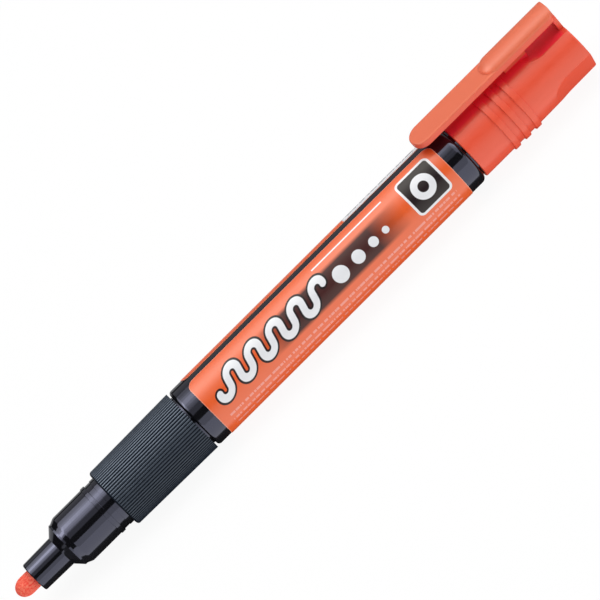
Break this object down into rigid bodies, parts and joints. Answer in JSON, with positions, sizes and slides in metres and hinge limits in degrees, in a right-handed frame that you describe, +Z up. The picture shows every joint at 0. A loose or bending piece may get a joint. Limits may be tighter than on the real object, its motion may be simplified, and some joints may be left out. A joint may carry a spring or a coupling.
{
  "type": "paint marker",
  "caption": "Valve-action paint marker with a bullet nib, ribbed grip, labelled barrel and a clip cap posted on its tail.",
  "frame": {"origin": "middle of the length and width, on the surface that the marker lies on", "axes": "+X along the marker from the nib to the posted cap's end, +Z up through the clip"},
  "size_m": [0.153, 0.0144, 0.019],
  "materials": {
    "nib_fibre": "pressed fibre soaked with paint",
    "black_gloss": "gloss moulded",
    "grip_slate": "matt moulded, ribbed",
    "seal_rubber": "moulded",
    "label_film": "printed film",
    "valve_white": "moulded",
    "spring_steel": "drawn or ground",
    "cap_orange": "satin moulded",
    "liner_natural": "moulded, natural colour"
  },
  "bodies": {
    "barrel": {"barrel": "black_gloss", "label": "label_film", "front_holder": "black_gloss", "nib_holder": "black_gloss", "grip_sleeve": "grip_slate", "barrel_seal": "seal_rubber", "valve_seat": "seal_rubber", "spring_cage": "valve_white", "valve_spring": "spring_steel"},
    "nib": {"nib": "nib_fibre"},
    "valve_stem": {"valve_stem": "valve_white"},
    "mixing_ball": {"mixing_ball": "spring_steel"},
    "cap": {"cap": "cap_orange", "inner_cap": "liner_natural"}
  },
  "joints": [
    {"name": "cap_pull", "type": "slide", "parent": "barrel", "child": "cap", "axis": [1, 0, 0], "range_m": [0, 0.03]},
    {"name": "nib_press", "type": "slide", "parent": "barrel", "child": "nib", "axis": [1, 0, 0], "range_m": [0, 0.0016], "stiffness_N_per_m": 1000, "springref_m": -0.001},
    {"name": "valve_lift", "type": "slide", "parent": "barrel", "child": "valve_stem", "axis": [1, 0, 0], "range_m": [0, 0.0016], "deforming": ["valve_spring"]},
    {"name": "ball_run", "type": "slide", "parent": "barrel", "child": "mixing_ball", "axis": [-1, 0, 0], "range_m": [0, 0.059]}
  ],
  "couplings": [
    {"joint": "valve_lift", "follows": "nib_press", "ratio": 1}
  ]
}
